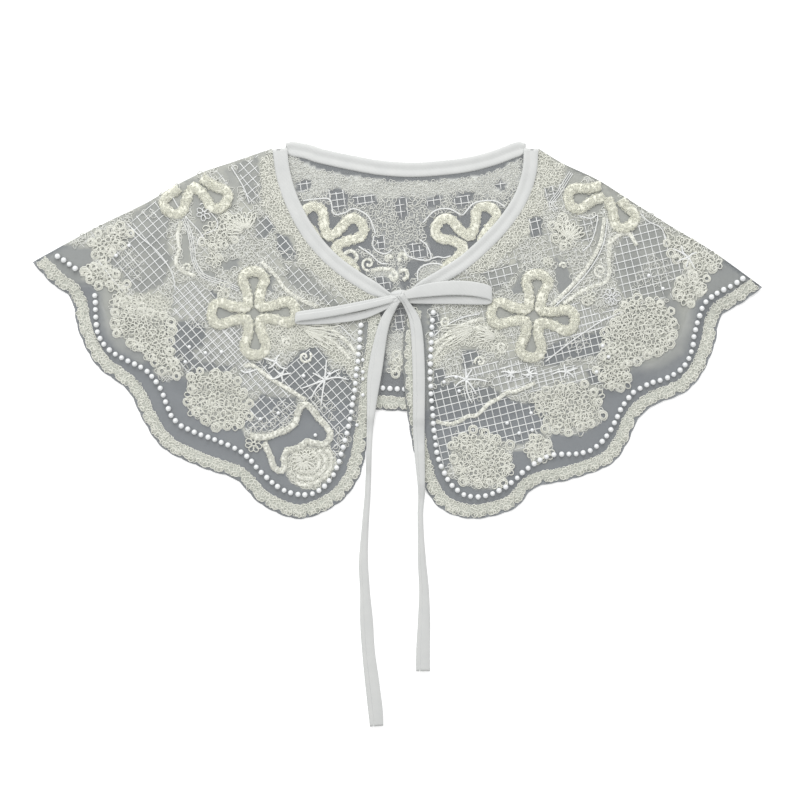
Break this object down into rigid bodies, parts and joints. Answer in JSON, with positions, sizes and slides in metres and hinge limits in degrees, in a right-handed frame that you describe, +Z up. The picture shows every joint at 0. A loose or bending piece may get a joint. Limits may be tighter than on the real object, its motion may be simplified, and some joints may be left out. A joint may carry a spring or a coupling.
{
  "type": "detachable lace collar",
  "caption": "Cape-style detachable lace collar laid flat: scalloped embroidered organza ring folded at both shoulders, bound neck, ties in a bow.",
  "frame": {"origin": "on the resting plane, under the middle of the bounding box of the whole laid-out collar with its ties", "axes": "+X across the collar, along its longest extent, towards the right as seen from above with the hem near the viewer; +Y from the hem towards the back of the neck; +Z up, away from the surface that it rests on"},
  "size_m": [0.4592, 0.3693, 0.0077],
  "materials": {
    "organza_lace": "sheer organza with matt cream cotton embroidery",
    "binding_tape": "smooth white woven tape",
    "cord": "fuzzy cream cotton cord",
    "pearl": "pearlescent moulded bead"
  },
  "bodies": {
    "root": {"back_panel": "organza_lace", "front_left_panel": "organza_lace", "front_right_panel": "organza_lace", "binding_back": "binding_tape", "binding_front_left": "binding_tape", "binding_front_right": "binding_tape", "tie_tail_left": "binding_tape", "tie_tail_right": "binding_tape", "bow_loop_left": "binding_tape", "bow_loop_right": "binding_tape", "bow_knot": "binding_tape"}
  },
  "joints": []
}
